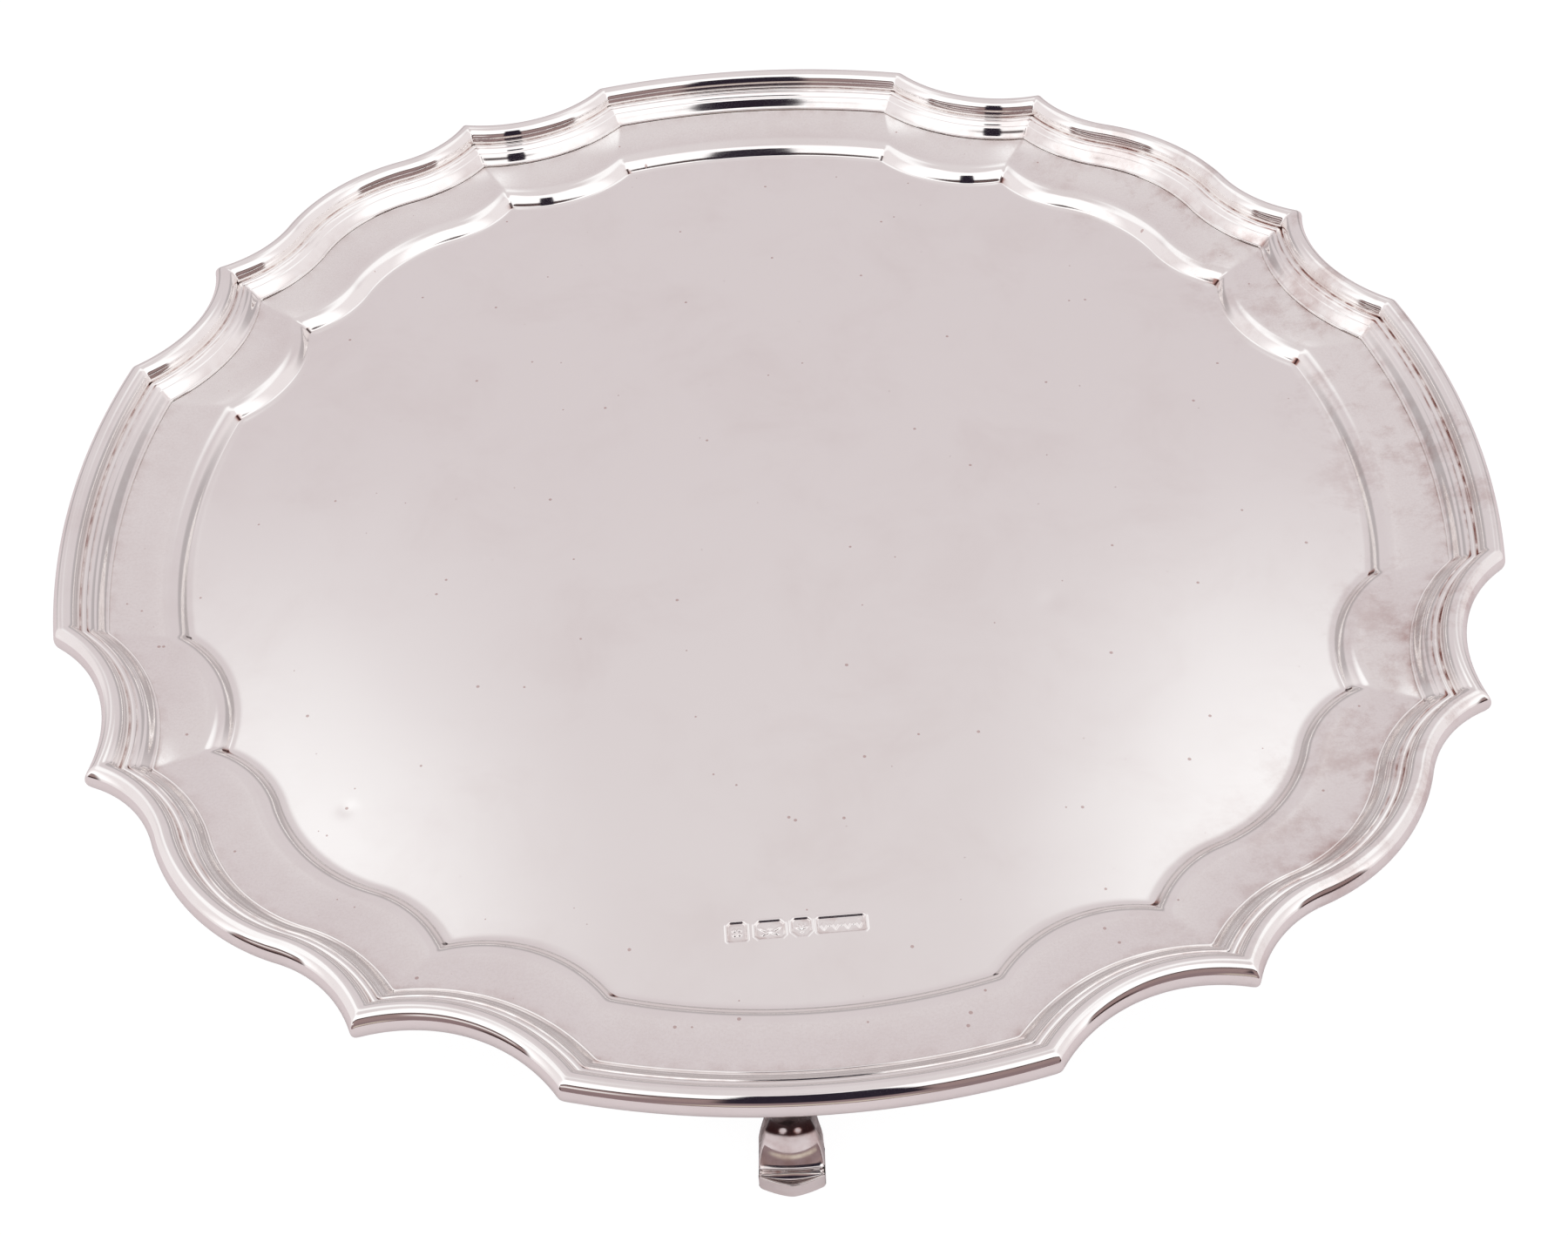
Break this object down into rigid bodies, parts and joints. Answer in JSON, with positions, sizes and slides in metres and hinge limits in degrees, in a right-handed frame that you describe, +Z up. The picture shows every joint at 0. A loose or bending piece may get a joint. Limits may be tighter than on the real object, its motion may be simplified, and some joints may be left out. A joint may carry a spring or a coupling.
{
  "type": "salver",
  "caption": "Shaped silver serving salver with a dished field, a moulded scalloped border and four short cast bracket feet.",
  "frame": {"origin": "on the resting surface, under the centre of the salver", "axes": "+Z up from the resting surface; +X, +Y, -X and -Y point at the middles of the four long sides, and the row of punches is at the -Y side, the front"},
  "size_m": [0.2572, 0.2572, 0.026],
  "materials": {
    "sheet_silver": "polished sterling silver sheet, softened by fine hand-polishing scratches and light tarnish",
    "border_silver": "bright polished cast silver with tarnish left in the grooves",
    "foot_silver": "polished cast silver, warmer in its hollows"
  },
  "bodies": {
    "root": {"tray_sheet": "sheet_silver", "border_side_right": "border_silver", "border_side_back": "border_silver", "border_side_left": "border_silver", "border_side_front": "border_silver", "border_bracket_back_right": "border_silver", "border_bracket_back_left": "border_silver", "border_bracket_front_left": "border_silver", "border_bracket_front_right": "border_silver", "foot_right": "foot_silver", "foot_back": "foot_silver", "foot_left": "foot_silver", "foot_front": "foot_silver"}
  },
  "joints": []
}
